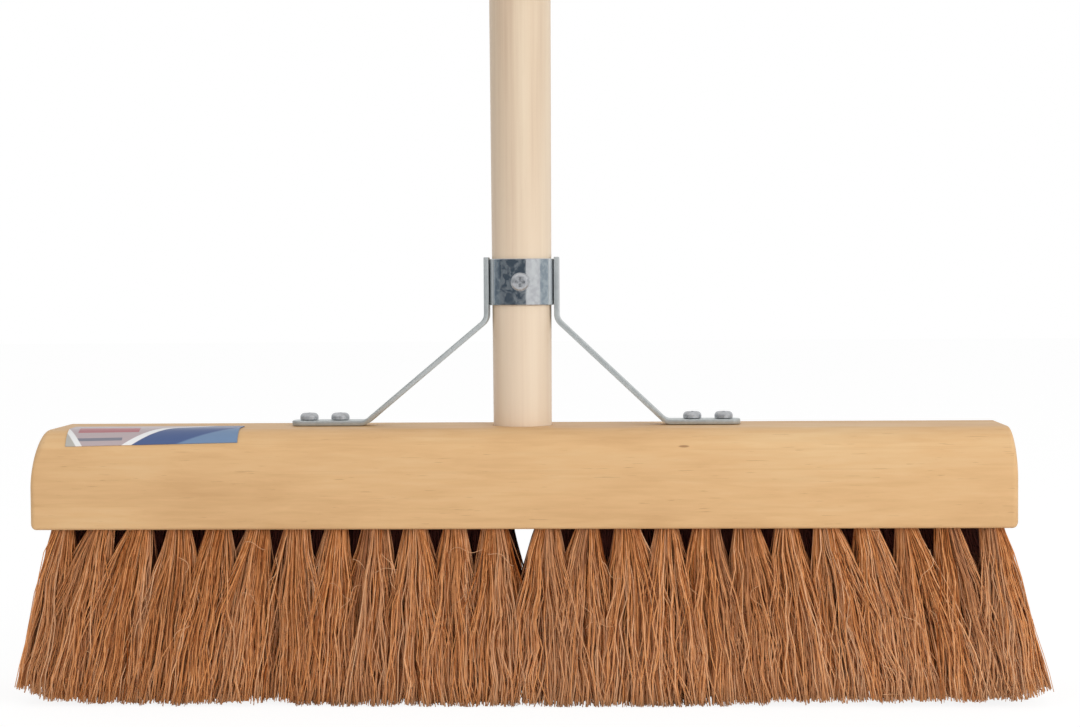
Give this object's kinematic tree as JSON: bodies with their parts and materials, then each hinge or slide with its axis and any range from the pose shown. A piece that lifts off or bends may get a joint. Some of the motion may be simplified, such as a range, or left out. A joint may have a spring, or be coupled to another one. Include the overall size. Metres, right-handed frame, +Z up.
{
  "type": "coco push broom",
  "caption": "Push broom with a wood block, rows of coco fibre tufts, a long round wood handle and a bent steel brace with a collar.",
  "frame": {"origin": "on the floor under the bristle tips, in the middle of the bristles' length and width", "axes": "+X along the block, to the right as seen from the label's side; +Y away from the label's side; +Z up the handle"},
  "size_m": [0.4744, 0.0776, 1.4923],
  "materials": {
    "block_wood": "planed bare wood, matte",
    "handle_wood": "smooth pale wood with a thin satin coat",
    "collar_steel": "zinc-plated sheet with dull mottling",
    "strap_steel": "zinc-plated strap, satin",
    "screw_steel": "zinc-plated, satin",
    "coco_fibre": "coarse, dry plant fibre",
    "label_film": "printed film, semi-gloss"
  },
  "bodies": {
    "root": {"block": "block_wood", "handle": "handle_wood", "brace_collar": "collar_steel", "brace_leg_left": "strap_steel", "brace_leg_right": "strap_steel", "collar_screw": "screw_steel", "foot_screw_left_outer": "screw_steel", "foot_screw_left_inner": "screw_steel", "foot_screw_right_inner": "screw_steel", "foot_screw_right_outer": "screw_steel", "label": "label_film", "tuft_row_1_left": "coco_fibre", "tuft_row_1_right": "coco_fibre", "tuft_row_2_left": "coco_fibre", "tuft_row_2_right": "coco_fibre", "tuft_row_3_left": "coco_fibre", "tuft_row_3_right": "coco_fibre", "tuft_row_4_left": "coco_fibre", "tuft_row_4_right": "coco_fibre", "tuft_row_5_left": "coco_fibre", "tuft_row_5_right": "coco_fibre"}
  },
  "joints": []
}
